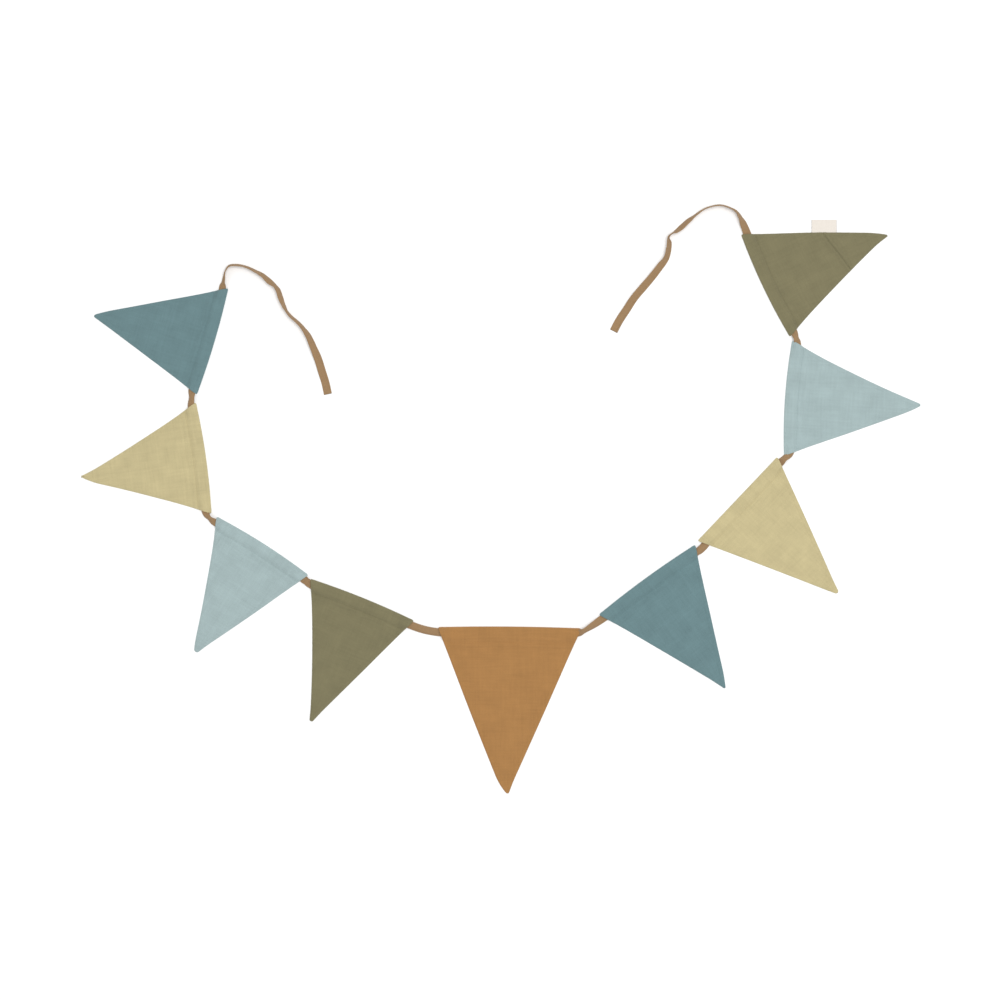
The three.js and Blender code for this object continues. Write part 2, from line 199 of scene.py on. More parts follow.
def row_ends(flag, v):
    """Left and right end of each row v, with the top corners and the tip rounded off.

    A sloping row meets the side higher or lower, and that place is found in two steps."""
    tip_width = flag.width * flag.blunt / flag.drop + 2 * flag.fullness
    tip_radius = min(TIP_RADIUS, TIP_SHARE * tip_width)
    drawn_in = round_off(CORNER_RADIUS, v) + round_off(tip_radius, flag.drop - flag.blunt - v)
    ends = []
    for side in (-1, 1):
        place = side_at(flag, side, v)
        for _ in range(2):
            place = side_at(flag, side, v + row_slope(flag, v) * place)
        ends.append(place - side * drawn_in)
    return ends


def turned(flag, u, y, z):
    """Points of the layout: the flag's own points turned by its heading and moved to its place."""
    turn = np.radians(flag.heading)
    return np.stack([
        flag.x + u * np.cos(turn) - y * np.sin(turn),
        flag.y + u * np.sin(turn) + y * np.cos(turn),
        z + 0 * u,
    ], axis=-1)


def placed(flag, u, v, z):
    """Points of the layout at u along a flag's row and v down to its tip.

    The top edge bows outwards as a parabola, and that bow fades out below the channel."""
    fade = eased([(CHANNEL_DEPTH[flag.cloth], 1), (BOW_FADES_AT * flag.drop, 0)], v)
    y = flag.top_bow * bow_shape(u / flag.width + 0.5) * fade - v - row_slope(flag, v) * u
    return turned(flag, u, y, z)


def flag_rows(flag):
    """Distance v of each row from the top edge, and the part of the cloth that it belongs to.

    Rows stand one step apart, and closer at the stitching, at the pressed fold line and at the
    rounded edges of the hem and the tip. Round the top fold they are a half circle."""
    channel, end = CHANNEL_DEPTH[flag.cloth], flag.drop - flag.blunt
    marked = channel + ROWS_BESIDE_STITCHES
    if flag.name == CREASE["flag"]:
        drop = CREASE["drop"]
        marked = np.concatenate([marked, drop - ROWS_BESIDE_CREASE, [drop], drop + ROWS_BESIDE_CREASE])
    inner = np.arange(FOLD_AT + ROW_STEP, end - EDGE_ROUNDING - ROW_STEP / 2, ROW_STEP)
    clear = np.abs(inner[:, None] - marked).min(axis=1) > ROW_STEP / 2
    flap = np.concatenate([channel + FLAP_HEM - ROUNDING, np.arange(channel, FOLD_AT, -ROW_STEP)])
    fold = FOLD_AT - FOLD_RADIUS * np.cos(FOLD_ANGLES)
    front = np.sort(np.concatenate([inner[clear], marked, end - ROUNDING]))
    part = np.repeat(["flap", "fold", "front"], [len(flap), len(fold), len(front)])
    return np.concatenate([flap, fold, front]), part


def flag_columns(left, right):
    """Place u of each column in each row, from the left end of the row to its right end.

    Columns stand close together over the rounded edges and the seam allowances, even closer in the
    short rows near the tip, and at even distances between them."""
    crowding = np.minimum(1, (right - left) / FULL_SEAM_ROW)[:, None]
    beside = np.concatenate([np.tile(ROUNDING, (len(left), 1)),
                             EDGE_ROUNDING + (SEAM_COLUMNS - EDGE_ROUNDING) * crowding], axis=1)
    share = np.linspace(0, 1, SPANS_ACROSS + 1)[None, 1:-1]
    between = left[:, None] + beside[:, -1:] + share * (right - left - 2 * beside[:, -1])[:, None]
    return np.concatenate([left[:, None] + beside, between, right[:, None] - beside[:, ::-1]], axis=1)


def stitch_pull(flag, down):
    """How much the stitching draws the cloth together: 1 on its line, eased to 0 beside it."""
    return 1 - eased([(0, 0), (STITCH_REACH, 1)], np.abs(down - CHANNEL_DEPTH[flag.cloth]))


def cloth_thickness(flag, down, inset, part):
    """Thickness of the doubled cloth: eased from the channel to the airy body, with the allowances
    added along the sides and in the tip, drawn together by the stitching and pressed behind it."""
    channel, end = CHANNEL_DEPTH[flag.cloth], flag.drop - flag.blunt
    seam = eased([(EDGE_ROUNDING, 0), (EDGE_ROUNDING + SEAM_SLOPE["at edge"], 1),
                  (SEAM_WIDTH, 1), (SEAM_WIDTH + SEAM_SLOPE["inside"], 0)], inset)
    air = eased([(channel + AIR_STARTS, 0), (channel + AIR_FULL, 1)], down)
    tip = eased([(end - TIP_BULK_STARTS, 0), (end - TIP_BULK_FULL, 1)], down)
    allowances = (SEAM - PANEL) * seam * (SEAM_IN_CHANNEL + (1 - SEAM_IN_CHANNEL) * air)
    sheet = SHEET + (PANEL - SHEET) * air + allowances + TIP_BULK * tip
    sheet = sheet + (STITCHED - sheet) * stitch_pull(flag, down)
    return np.where(part == "front", sheet, np.minimum(sheet, PRESSED))


def front_height(flag, down, inset):
    """Height of the front over the channel: eased from the roof over the tape down to the stitching,
    over the flap's hem and down to nothing. The roof is arched higher at the two mouths."""
    channel = CHANNEL_DEPTH[flag.cloth]
    hem = channel + FLAP_HEM
    over_flap = STITCHED_HEIGHT + REBOUND
    roof = eased([(FOLD_AT, ROOF), (SWELL_STARTS, ROOF + SWELL), (SWELL_ENDS, ROOF + SWELL),
                  (ROOF_ENDS, ROOF), (channel, STITCHED_HEIGHT), (channel + REBOUND_AFTER, over_flap),
                  (hem, over_flap), (hem + HEM_SLOPE, 0)], down)
    mouth = eased([(0, 1), (MOUTH_FULL, 1), (MOUTH_REACH, 0)], inset)
    arch = eased([(MOUTH_ARCH["starts"], 0), (MOUTH_ARCH["top from"], 1), (MOUTH_ARCH["top to"], 1),
                  (channel - MOUTH_ARCH["ends before stitching"], 0)], down)
    return roof + MOUTH_RISE * mouth * arch


def ripples(rng, kind, x, drift):
    """Ripples from 0 to twice their height: one sine wave along x for each length, of random phase and
    slanted a little by drift. Their sum is divided by their number."""
    phases = rng.uniform(0, 2 * np.pi, len(kind.lengths))
    slants = rng.uniform(-RIPPLE_DRIFT, RIPPLE_DRIFT, len(kind.lengths))
    waves = [np.sin(2 * np.pi * (x + slant * drift) / length + phase)
             for length, phase, slant in zip(kind.lengths, phases, slants)]
    return kind.height * (1 + sum(waves) / len(waves))


def front_relief(flag, rng, u, down, inset):
    """What lies on top of the front: a soft ridge that runs down to the tip, with a squared cosine
    across it, low waves, puckers that die away from the stitching and the seams as a bell curve, and on
    one flag a pressed fold line, which is a sharp valley between two soft shoulders."""
    channel, end = CHANNEL_DEPTH[flag.cloth], flag.drop - flag.blunt
    t = np.clip((down - channel) / (end - channel), 0, 1)
    ridge_middle = flag.ridge_at * flag.width / 2 * (1 - t) + flag.lean * t
    across = np.clip(np.abs(u - ridge_middle) / RIDGE_HALF_WIDTH, 0, 1)
    relief = flag.rise * np.sin(np.pi * t) * np.cos(np.pi / 2 * across) ** 2

    clear_of_sides = eased([(0, 0), (WAVES_FADE["at sides"], 1)], inset)
    starts, full = channel + WAVES_FADE["from stitching"], channel + WAVES_FADE["full"]
    open_cloth = clear_of_sides * eased([(starts, 0), (full, 1)], down)
    relief += (ripples(rng, WAVES_ACROSS, u, down) + ripples(rng, WAVES_DOWN, down, u)) * open_cloth

    from_stitches = np.abs(down - channel)
    starts, full = ROW_PUCKERS_FADE
    near = np.exp(-((from_stitches / ROW_PUCKERS_REACH) ** 2))
    near *= eased([(starts, 0), (full, 1)], from_stitches)
    relief += ripples(rng, ROW_PUCKERS, u, down) * near

    full = channel + SEAM_PUCKERS_FADE
    near = np.exp(-((inset / SEAM_PUCKERS_REACH) ** 2)) * eased([(channel, 0), (full, 1)], down)
    relief += ripples(rng, SEAM_PUCKERS, down, u) * near

    if flag.name == CREASE["flag"]:
        beside = np.abs(down - CREASE["drop"])
        shoulders = CREASE["rise"] * np.clip(beside / CREASE["valley"], 0, 1)
        relief += shoulders * eased([(CREASE["valley"], 1), (CREASE["shoulder"], 0)], beside)
    return relief


def flag_grid(flag, rng):
    """Face and back of a flag's cloth as grids of points, each point's place on the cut cloth, and the
    numbers of the two rows along the stitching.

    Rows follow the cloth's run: from the hem of the back flap up to the top fold, round it and down the
    front to the tip. Columns cross the flag from side to side. Face and back lie half the thickness to
    either side of the middle, square to its slope along the columns."""
    channel, end = CHANNEL_DEPTH[flag.cloth], flag.drop - flag.blunt
    v, row_part = flag_rows(flag)
    part = row_part[:, None]
    left, right = row_ends(flag, v)
    u = flag_columns(left, right)
    inset = np.minimum(u - left[:, None], right[:, None] - u)
    down = np.broadcast_to(v[:, None], u.shape)

    sheet = cloth_thickness(flag, down, inset, part)
    lying = FLOOR_GAP + sheet / 2 + STITCH_DIP * stitch_pull(flag, down)
    front = np.maximum(front_height(flag, down, inset), lying) + front_relief(flag, rng, u, down, inset)
    z = np.where(part == "front", front, lying)
    z[row_part == "fold"] = (FLAP + FOLD_RADIUS * (1 + np.sin(FOLD_ANGLES)))[:, None]

    from_hem = np.where(row_part == "flap", channel + FLAP_HEM - v, EDGE_ROUNDING)
    from_end = np.where(row_part == "front", end - v, from_hem)
    rounded = rounded_edge(inset, EDGE_ROUNDING) * rounded_edge(from_end, EDGE_ROUNDING)[:, None]
    thick = sheet * rounded / 2
    dv, dz = np.gradient(down, axis=0), np.gradient(z, axis=0)
    length = np.hypot(dv, dz)
    face = placed(flag, u, down - thick * dz / length, z + thick * dv / length)
    back = placed(flag, u, down + thick * dz / length, z - thick * dv / length)

    steps = np.hypot(np.diff(v), np.diff(z[:, u.shape[1] // 2]))
    run = np.concatenate([[0], np.cumsum(steps)])
    thread = np.stack([u, np.broadcast_to(run[:, None], u.shape)], axis=-1)
    return face, back, thread, np.flatnonzero(np.isclose(v, channel))


def cloth_mesh(name, face, back, thread):
    """Closed skin of a sheet of cloth, from the grids of its face and its back.

    Each row is one loop, across the face and home along the back. The two grids meet along their
    border, where they share their vertices. thread, which is each point's place on the cut cloth, is
    kept as a UV map."""
    rows, columns = face.shape[:2]
    points = np.concatenate([face, back[:, -2:0:-1]], axis=1).reshape(-1, 3)
    places = np.concatenate([thread, thread[:, -2:0:-1]], axis=1).reshape(-1, 2)
    index = np.arange(len(points)).reshape(rows, -1)
    for end in (0, -1):
        index[end, columns:] = index[end, columns - 2:0:-1]
    beside = np.roll(index, -1, axis=1)
    quads = np.stack([index[:-1], index[1:], beside[1:], beside[:-1]], axis=-1).reshape(-1, 4)
    used, corners = np.unique(quads, return_inverse=True)
    mesh = bpy.data.meshes.new(name)
    mesh.from_pydata((points[used] * MM).tolist(), [], corners.reshape(-1, 4).tolist())
    mesh.polygons.foreach_set("use_smooth", np.ones(len(quads), bool))
    mesh.uv_layers.new(name="thread").uv.foreach_set("vector", places[quads.ravel()].ravel())
    made = bpy.data.objects.new(name, mesh)
    scene.collection.objects.link(made)
    return made


CROSSING = 2.5  # how sharply one thread passes under the next
WARP_SLUBS = (0.45, 0.03)  # noise cells to the mm, across the warp and along it
WEFT_SLUBS = (0.025, 0.45)
PATCHES = (0.05, 0.05)
WARP_NOISE_AT = 3.7
WEFT_NOISE_AT = 9.1
SLUB_TONE = 0.5  # how much each lightens or darkens the colour
PATCH_TONE = 0.3
# how much the colour is painted darker in the weave's hollows and lighter on its ribs: painted shade of
# the weave
WEAVE_SHADE_TONE = 0.25
MEAN_WEAVE = 0.6
HOLLOW_ROUGHNESS = 0.95
RIB_POLISH = 0.12  # how much less rough the ribs are


def woven_group():
    """Node group of a plain weave on the thread coordinates, in mm.

    Warp and weft are rounded ribs, |sin| of their place over the pitch, and the sign of the product of
    the two sines says which of them lies on top. Slubs are noise drawn out along each thread. The colour
    is painted darker in the hollows between the ribs and lighter on their tops, as painted shade and
    highlight of the weave."""
    group = bpy.data.node_groups.new("plain_weave", "ShaderNodeTree")
    sockets = group.interface
    sockets.new_socket("Cloth Colour", in_out="INPUT", socket_type="NodeSocketColor")
    for name, value in (("Pitch", 0.5), ("Slubs", 0.5), ("Mottling", 0.5)):
        sockets.new_socket(name, in_out="INPUT", socket_type="NodeSocketFloat").default_value = value
    sockets.new_socket("Colour", in_out="OUTPUT", socket_type="NodeSocketColor")
    sockets.new_socket("Roughness", in_out="OUTPUT", socket_type="NodeSocketFloat")
    sockets.new_socket("Height", in_out="OUTPUT", socket_type="NodeSocketFloat")
    nodes, links = group.nodes, group.links
    given, out = nodes.new("NodeGroupInput"), nodes.new("NodeGroupOutput")
    uv = nodes.new("ShaderNodeUVMap")
    uv.uv_map = "thread"
    split = nodes.new("ShaderNodeSeparateXYZ")
    links.new(uv.outputs["UV"], split.inputs["Vector"])

    def math(operation, *values):
        """Result of one operation on numbers or on other nodes' outputs."""
        node = nodes.new("ShaderNodeMath")
        node.operation = operation
        for socket, value in zip(node.inputs, values):
            if isinstance(value, (int, float)):
                socket.default_value = value
            else:
                links.new(value, socket)
        return node.outputs["Value"]

    def streaks(scale, noise_at, detail):
        """Noise from 0 to 1, stretched by its scale across the warp and along it."""
        spread = nodes.new("ShaderNodeMapping")
        spread.inputs["Scale"].default_value = (*scale, 1)
        spread.inputs["Location"].default_value = (0, 0, noise_at)
        links.new(uv.outputs["UV"], spread.inputs["Vector"])
        noise = nodes.new("ShaderNodeTexNoise")
        noise.inputs["Scale"].default_value = 1
        noise.inputs["Detail"].default_value = detail
        links.new(spread.outputs["Vector"], noise.inputs["Vector"])
        return noise.outputs["Fac"]

    turns = math("DIVIDE", np.pi, given.outputs["Pitch"])
    warp_wave = math("SINE", math("MULTIPLY", split.outputs["X"], turns))
    weft_wave = math("SINE", math("MULTIPLY", split.outputs["Y"], turns))
    over = math("MULTIPLY", math("MULTIPLY", warp_wave, weft_wave), CROSSING)
    warp_on_top = math("ADD", math("MULTIPLY", math("MAXIMUM", math("MINIMUM", over, 1), -1), 0.5), 0.5)
    warp_rib = math("MULTIPLY", math("ABSOLUTE", warp_wave), warp_on_top)
    weft_rib = math("MULTIPLY", math("ABSOLUTE", weft_wave), math("SUBTRACT", 1, warp_on_top))
    weave = math("MAXIMUM", warp_rib, weft_rib)

    warp_slub = streaks(WARP_SLUBS, WARP_NOISE_AT, detail=3)
    weft_slub = streaks(WEFT_SLUBS, WEFT_NOISE_AT, detail=3)
    patches = streaks(PATCHES, WARP_NOISE_AT, detail=4)
    slub = math("SUBTRACT", math("ADD", warp_slub, weft_slub), 1)
    height = math("ADD", weave, math("MULTIPLY", slub, given.outputs["Slubs"]))
    links.new(height, out.inputs["Height"])

    slub_tone = math("MULTIPLY", slub, math("MULTIPLY", given.outputs["Slubs"], SLUB_TONE))
    patch_strength = math("MULTIPLY", given.outputs["Mottling"], PATCH_TONE)
    patch_tone = math("MULTIPLY", math("SUBTRACT", patches, 0.5), patch_strength)
    # Painted shade of the weave: darker in the hollows between the ribs, lighter on their tops.
    weave_shade = math("MULTIPLY", math("SUBTRACT", weave, MEAN_WEAVE), WEAVE_SHADE_TONE)
    shade = math("ADD", weave_shade, math("ADD", math("ADD", slub_tone, patch_tone), 1))
    colour = nodes.new("ShaderNodeVectorMath")
    colour.operation = "SCALE"
    links.new(given.outputs["Cloth Colour"], colour.inputs[0])
    links.new(shade, colour.inputs["Scale"])
    links.new(colour.outputs["Vector"], out.inputs["Colour"])
    roughness = math("SUBTRACT", HOLLOW_ROUGHNESS, math("MULTIPLY", weave, RIB_POLISH))
    links.new(roughness, out.inputs["Roughness"])
    return group


plain_weave = woven_group()


def cotton(name, colour, pitch=0.5, slubs=0.32, mottling=0.9, relief=0.12):
    """Matt cotton in a plain weave of the given pitch, in mm, with relief mm between rib and hollow."""
    material = bpy.data.materials.new(name)
    material.use_nodes = True
    nodes, links = material.node_tree.nodes, material.node_tree.links
    shader = nodes["Principled BSDF"]
    shader.inputs["Specular IOR Level"].default_value = 0.25
    shader.inputs["Sheen Weight"].default_value = 0.08
    shader.inputs["Sheen Roughness"].default_value = 0.6
    weave = nodes.new("ShaderNodeGroup")
    weave.node_tree = plain_weave
    weave.inputs["Cloth Colour"].default_value = (*colour, 1)
    weave.inputs["Pitch"].default_value = pitch
    weave.inputs["Slubs"].default_value = slubs
    weave.inputs["Mottling"].default_value = mottling
    bump = nodes.new("ShaderNodeBump")
    bump.inputs["Distance"].default_value = relief * MM
    links.new(weave.outputs["Height"], bump.inputs["Height"])
    links.new(weave.outputs["Colour"], shader.inputs["Base Color"])
    links.new(weave.outputs["Roughness"], shader.inputs["Roughness"])
    links.new(bump.outputs["Normal"], shader.inputs["Normal"])
    return material


CLOTH_COLOURS = {
    "teal": (0.128, 0.214, 0.228),
    "straw": (0.507, 0.436, 0.240),
    "pale_blue": (0.334, 0.425, 0.428),
    "olive": (0.186, 0.168, 0.090),
    "camel": (0.370, 0.186, 0.060),
}
cottons = {cloth: cotton(f"{cloth}_cotton", colour) for cloth, colour in CLOTH_COLOURS.items()}

stitch_rows = {}
for number, flag in enumerate(FLAGS):
    face, back, thread, rows = flag_grid(flag, np.random.default_rng(FIRST_SEED + number))
    cloth = cloth_mesh(f"{flag.name}_cloth", face, back, thread + number * BOLT_STEP)
    cloth.data.materials.append(cottons[flag.cloth])
    stitch_rows[flag.name] = face[rows]
    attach(cloth, "root")
    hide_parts(flag.name)


# Thread of the channels. One row of machine stitches in cotton thread of the flag's own colour closes
# each channel through both of its sheets. The thread is painted a little darker than its cloth, and
# darker still on the olive and pale blue flags, as painted shade of the stitched groove. On the camel
# flag it is lighter. Each stitch dips into the cloth at its two ends. Sizes in mm.
STITCH_LENGTH = 2.8
STITCH_GAP = 0.5
STITCH_MARGIN = 1.5
STITCH_RINGS = 7
STITCH_SIDES = 6
STITCH_END = 0.02  # share of the length where a stitch is cut off blunt
THREAD_RADIUS = 0.17
THREAD_SUNK = 0.6  # share of its radius by which a stitch lies in the cloth
TWIST_SCALE = 700.0
TWIST_RELIEF = 0.04
# Below 1 a thread is painted darker than its cloth, as painted shade of the stitched groove. The camel
# thread is lighter.
THREAD_TONES_WITH_GROOVE_SHADE = {  # brightness next to the cloth's colour
    "teal": 0.95, "straw": 0.95, "pale_blue": 0.85, "olive": 0.75, "camel": 1.12, "tape": 0.95,
}


def stitches_mesh(name, line, outwards):
    """Row of stitches along a line of points, on the side of the cloth that outwards points to.

    Each stitch is a spindle: a circle whose radius is the root of a half sine along it, and which
    rises out of the cloth as it swells."""
    steps = np.linalg.norm(np.diff(line, axis=0), axis=1)
    at = np.concatenate([[0], np.cumsum(steps)])
    last_start = at[-1] - STITCH_MARGIN - STITCH_LENGTH
    starts = np.arange(STITCH_MARGIN, last_start, STITCH_LENGTH + STITCH_GAP)
    share = np.linspace(0, 1, STITCH_RINGS)
    places = starts[:, None] + share * STITCH_LENGTH
    centre = np.stack([np.interp(places, at, line[:, k]) for k in range(3)], axis=-1)
    normal = np.stack([np.interp(places, at, outwards[:, k]) for k in range(3)], axis=-1)
    swell = np.sqrt(np.sin(np.pi * share.clip(STITCH_END, 1 - STITCH_END)))[None, :, None]
    centre = centre + normal * THREAD_RADIUS * (swell - THREAD_SUNK)
    along = np.gradient(centre, axis=1)
    along /= np.linalg.norm(along, axis=-1, keepdims=True)
    across = np.cross(normal, along)
    turn = np.linspace(0, 2 * np.pi, STITCH_SIDES, endpoint=False)[:, None]
    ring = np.cos(turn) * across[:, :, None] + np.sin(turn) * normal[:, :, None]
    points = centre[:, :, None] + ring * THREAD_RADIUS * swell[..., None]
    index = np.arange(points[..., 0].size).reshape(points.shape[:3])
    beside = np.roll(index, -1, axis=2)
    quads = np.stack([index[:, :-1], beside[:, :-1], beside[:, 1:], index[:, 1:]], axis=-1)
    caps = np.concatenate([index[:, 0, ::-1], index[:, -1]])
    faces = quads.reshape(-1, 4).tolist() + caps.tolist()
    mesh = bpy.data.meshes.new(name)
    mesh.from_pydata((points.reshape(-1, 3) * MM).tolist(), [], faces)
    mesh.polygons.foreach_set("use_smooth", np.ones(len(mesh.polygons), bool))
    made = bpy.data.objects.new(name, mesh)
    scene.collection.objects.link(made)
    return made


def thread_material(name, colour):
    """Two-ply sewing thread, slightly glossier than the cloth, with its twist as fine slanting ribs."""
    material = bpy.data.materials.new(name)
    material.use_nodes = True
    nodes, links = material.node_tree.nodes, material.node_tree.links
    shader = nodes["Principled BSDF"]
    shader.inputs["Base Color"].default_value = (*colour, 1)
    shader.inputs["Roughness"].default_value = 0.7
    shader.inputs["Specular IOR Level"].default_value = 0.3
    place = nodes.new("ShaderNodeTexCoord")
    twist = nodes.new("ShaderNodeTexWave")
    twist.bands_direction = "DIAGONAL"
    twist.inputs["Scale"].default_value = TWIST_SCALE
    bump = nodes.new("ShaderNodeBump")
    bump.inputs["Distance"].default_value = TWIST_RELIEF * MM
    links.new(place.outputs["Object"], twist.inputs["Vector"])
    links.new(twist.outputs["Fac"], bump.inputs["Height"])
    links.new(bump.outputs["Normal"], shader.inputs["Normal"])
    return material


# Thread colours are the cloth colours scaled by their tones, which paint in the shade of the stitched
# groove.
threads = {cloth: thread_material(f"{cloth}_thread", np.multiply(THREAD_TONES_WITH_GROOVE_SHADE[cloth], colour))
           for cloth, colour in CLOTH_COLOURS.items()}

for flag in FLAGS:
    for side, upwards, line in zip(("back", "front"), (-1, 1), stitch_rows[flag.name]):
        outwards = np.tile([0, 0, upwards], (len(line), 1))
        stitching = stitches_mesh(f"{flag.name}_{side}_stitches", line, outwards)
        stitching.data.materials.append(threads[flag.cloth])
        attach(stitching, "root")


# Label. A short length of cream cotton ribbon, folded in two, with both ends caught in the side seam of
# the last flag. It is blank. Sizes are in mm.
LABEL = {"flag": FLAGS[-1], "along_seam": 0.567, "width": 32.5, "length": 16.65, "inside": 0.6}
LABEL_PLY = 0.32
LABEL_FOLD = 0.2  # radius of the fold
LABEL_LIES = [(0, 0.45), (9, 0.05), (17, 0.05)]  # out from the seam, height over the floor
LABEL_RIPPLE = 0.12
LABEL_RIPPLE_SPREAD = 7.0
LABEL_COLUMNS = 45
LABEL_ROWS = 16  # along each ply
LABEL_FOLD_ROWS = 7
LABEL_COLOUR = (0.715, 0.663, 0.60)


def label_grid():
    """Face, back and thread of the folded ribbon. Its rows run from the seam along the lower ply, round
    the fold as a half circle and home on the upper ply, and both lift by a squared sine across them."""
    flag = LABEL["flag"]
    drop = LABEL["along_seam"] * flag.drop
    spread = np.linspace(drop - LABEL["width"] / 2, drop + LABEL["width"] / 2, LABEL_COLUMNS)
    seam = turned(flag, side_at(flag, 1, spread), -spread, 0.0)
    down = (seam[-1] - seam[0]) / np.linalg.norm(seam[-1] - seam[0])
    outwards = np.array([-down[1], down[0], 0])
    middle_column = LABEL_COLUMNS // 2
    start = seam[middle_column] - LABEL["inside"] * outwards
    across = np.linspace(-0.5, 0.5, LABEL_COLUMNS) * LABEL["width"]

    reach = LABEL["length"] + LABEL["inside"] - LABEL_FOLD - LABEL_PLY / 2
    out = np.linspace(0, reach, LABEL_ROWS)
    around = np.linspace(-np.pi / 2, np.pi / 2, LABEL_FOLD_ROWS + 2)[1:-1]
    x = np.concatenate([out, reach + LABEL_FOLD * np.cos(around), out[::-1]])
    lift = np.concatenate([np.zeros_like(out), LABEL_FOLD * (1 + np.sin(around)),
                           np.full_like(out, 2 * LABEL_FOLD)])
    ripple = LABEL_RIPPLE * np.sin(across / LABEL_RIPPLE_SPREAD) ** 2 * (x / reach)[:, None]
    z = (lift + eased(LABEL_LIES, x) + LABEL_PLY / 2)[:, None] + ripple
    middle = start + x[:, None, None] * outwards + across[None, :, None] * down
    middle[..., 2] = z

    dx, dz = np.gradient(x)[:, None], np.gradient(z, axis=0)
    length = np.hypot(dx, dz)
    normal = (dz / length)[..., None] * outwards + (-dx / length)[..., None] * np.array([0, 0, 1])
    inner_columns = np.abs(across) < LABEL["width"] / 2
    inner_rows = np.ones(len(x), bool)
    inner_rows[[0, -1]] = False
    thick = LABEL_PLY / 2 * inner_columns[None, :] * inner_rows[:, None]
    half = normal * thick[..., None]
    run = np.concatenate([[0], np.cumsum(np.hypot(np.diff(x), np.diff(z[:, middle_column])))])
    thread = np.stack(np.broadcast_arrays(across[None, :], run[:, None]), axis=-1)
    return middle + half, middle - half, thread


cream_ribbon = cotton("cream_ribbon", LABEL_COLOUR, pitch=0.3, slubs=0.1, mottling=0.1, relief=0.05)
label = cloth_mesh("label_ribbon", *label_grid())
label.data.materials.append(cream_ribbon)
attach(label, "root")
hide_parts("label")


# Tape. A strip of camel cotton with both edges folded in, folded again and stitched along its open
# edge. It passes through every channel, and its two free ends are the ties, which lie twisted. Sizes
# are in mm and turns in degrees.
TAPE_WIDTH = 10.5
TAPE_THICKNESS = 1.0
TAPE_EDGE = 0.45
TAPE_STEP = 1.2
TAPE_EDGE_COLUMNS = 4
TAPE_FLAT_SPANS = 12
TAPE_STITCH_INSET = 1.7
PINCH = 0.25  # share of the thickness that the stitching takes
PINCH_WIDTH = 0.6
PINCH_VARIES = 0.12
PINCH_LENGTHS = (6.1, 17.3)
TAPE_COLOUR = (0.305, 0.190, 0.096)
TAPE_FROM_TOP_EDGE = 7.8
RISE_IN_CHANNEL = 1.0
RISE_BETWEEN_FLAGS = 0.6
RISE_OF_TIES = 0.16
TIE_CURL = 14
LEAST_CURL = 1
STEPS_BETWEEN_BENDS = 24
CHANNEL_STATIONS = (-0.47, -0.36, -0.2, 0, 0.2, 0.36, 0.47)  # share of the flag's width
CURLED_STATIONS = (-0.47, -0.36, 0.36, 0.47)

# x, y: middle of the tape. roll: its turn about its own run
FIRST_TIE = [
    (-225.1, 136.5, 0), (-228.4, 151.3, 0), (-233.0, 166.3, 6), (-237.8, 181.8, 14),
    (-244.7, 198.8, 36), (-250.0, 211.0, 48), (-257.9, 222.8, 66), (-264.7, 230.0, 70),
    (-273.1, 237.3, 72), (-278.7, 244.3, 77), (-282.5, 251.5, 66), (-286.4, 261.3, 55),
    (-289.5, 270.8, 58), (-293.4, 276.5, 66), (-300.9, 282.6, 48), (-309.4, 290.3, 60),
    (-319.7, 296.3, 71), (-331.6, 301.7, 76), (-343.7, 303.9, 74), (-353.4, 302.7, 76),
    (-358.0, 295.6, 83), (-360.6, 283.3, 66),
]
LAST_TIE = [
    (315.3, 356.0, 24), (310.4, 366.0, 58), (305.6, 373.2, 71), (298.5, 377.5, 78),
    (284.9, 381.5, 80), (272.3, 379.6, 83), (262.4, 375.8, 82), (252.7, 368.9, 76),
    (242.1, 360.5, 55), (234.2, 353.1, 50), (227.6, 347.8, 62), (223.0, 345.4, 82),
    (217.7, 340.3, 102), (218.5, 332.7, 127), (217.1, 321.7, 133), (214.2, 312.2, 133),
    (206.7, 302.5, 150), (196.3, 289.1, 156), (184.4, 275.1, 160), (173.0, 261.6, 160),
    (162.6, 245.9, 170), (153.0, 231.4, 180), (146.2, 218.3, 180),
]

# leaves, enters: distance from the top edge in the mouth that the tape comes out of, and in the next.
# curl: half the angle of its section's arc, in those mouths and between them. Negative is hollow upwards
Link = namedtuple("Link", "x y roll leaves curl_leaving curl curl_entering enters")
LINKS = [
    Link(-401.6, 131.6, 35, 7.8, 50, 72, 72, 7.4),
    Link(-378.4, -24.5, 56, 8.2, 70, 36, 66, 8.0),
    Link(-253.0, -106.6, 5, 8.0, 30, -50, 30, 7.2),
    Link(-99.7, -169.6, 3, 7.4, 25, 25, 25, 7.2),
    Link(107.6, -170.6, 50, 6.8, 70, 44, 30, 7.4),
    Link(259.8, -64.7, 5, 9.4, 62, 30, 40, 10.6),
    Link(368.2, 52.9, -38, 8.0, 40, 52, 66, 8.2),
    Link(383.0, 209.0, 40, 7.8, 66, 56, 56, 7.8),
]
FIRST_MOUTH = (62, 7.4)  # curl and distance from the top edge
LAST_MOUTH = (25, 7.8)


